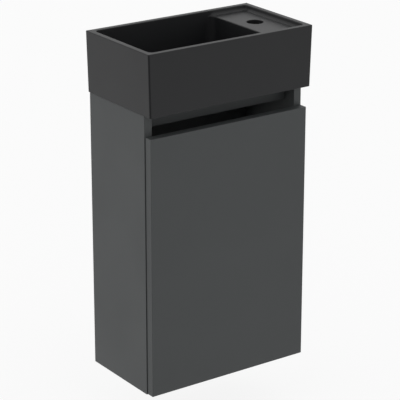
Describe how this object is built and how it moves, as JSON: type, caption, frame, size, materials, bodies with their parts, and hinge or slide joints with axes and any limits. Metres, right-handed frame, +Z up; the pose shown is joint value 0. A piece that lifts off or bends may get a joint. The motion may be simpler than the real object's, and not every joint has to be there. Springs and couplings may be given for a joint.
{
  "type": "wall-hung vanity unit with basin",
  "caption": "Slim wall-hung bathroom vanity unit: moulded basin with a side tap ledge and a bowl, over a cabinet with a full-height hinged door and an inner shelf.",
  "frame": {"origin": "on the wall plane, at the centre of the four wall screws", "axes": "+X to the unit's right seen from the front, +Y into the wall, -Y to the room, +Z up"},
  "size_m": [0.4012, 0.227, 0.731],
  "materials": {
    "basin_glaze": "matte black glaze",
    "carcass_board": "satin anthracite lacquer on board",
    "door_board": "satin anthracite lacquer on board",
    "plated_steel": "nickel plate",
    "zinc_steel": "bright zinc plate",
    "cast_zinc": "plain die casting",
    "plastic": "moulded dark grey",
    "beech": "plain beech",
    "silicone": "black sealant"
  },
  "bodies": {
    "carcass": {"basin": "basin_glaze", "silicone_bead": "silicone", "left_side_panel": "carcass_board", "right_side_panel": "carcass_board", "bottom_panel": "carcass_board", "upper_back_rail": "carcass_board", "lower_back_rail": "carcass_board", "front_rail": "carcass_board", "shelf": "carcass_board", "shelf_pins": "zinc_steel", "dowels": "beech", "cam_bolts": "zinc_steel", "cam_locks": "cast_zinc", "hinge_arm_pins": "plated_steel", "hinge_arm_screws": "plated_steel", "hinge_plate_screws": "zinc_steel", "hanger_adjusters": "zinc_steel", "hanger_screws": "zinc_steel", "upper_hinge_arm": "plated_steel", "lower_hinge_arm": "plated_steel", "upper_hinge_plate": "plated_steel", "lower_hinge_plate": "plated_steel", "left_wall_plate": "zinc_steel", "right_wall_plate": "zinc_steel", "left_hanger_hook": "zinc_steel", "right_hanger_hook": "zinc_steel", "left_hanger_body": "plastic", "right_hanger_body": "plastic"},
    "outer_links": {"upper_outer_link": "plated_steel", "lower_outer_link": "plated_steel"},
    "inner_links": {"upper_inner_link": "plated_steel", "lower_inner_link": "plated_steel"},
    "door": {"door": "door_board", "door_bumpers": "plastic", "upper_hinge_cup": "plated_steel", "lower_hinge_cup": "plated_steel", "hinge_cup_screws": "zinc_steel", "hinge_cup_pins": "plated_steel"}
  },
  "joints": [
    {"name": "outer_link_swing", "type": "hinge", "parent": "carcass", "child": "outer_links", "pos_m": [0.164, -0.188, 0], "axis": [0, 0, 1], "range_deg": [-29.36, 0]},
    {"name": "door_swing", "type": "hinge", "parent": "outer_links", "child": "door", "pos_m": [0.1835, -0.2044, 0], "axis": [0, 0, 1], "range_deg": [0, 119.16]},
    {"name": "inner_link_swing", "type": "hinge", "parent": "carcass", "child": "inner_links", "pos_m": [0.1584, -0.2075, 0], "axis": [0, 0, 1], "range_deg": [-30.04, 0]}
  ],
  "couplings": [
    {"joint": "outer_link_swing", "follows": "door_swing", "ratio": -0.24473},
    {"joint": "inner_link_swing", "follows": "door_swing", "ratio": -0.25038}
  ]
}
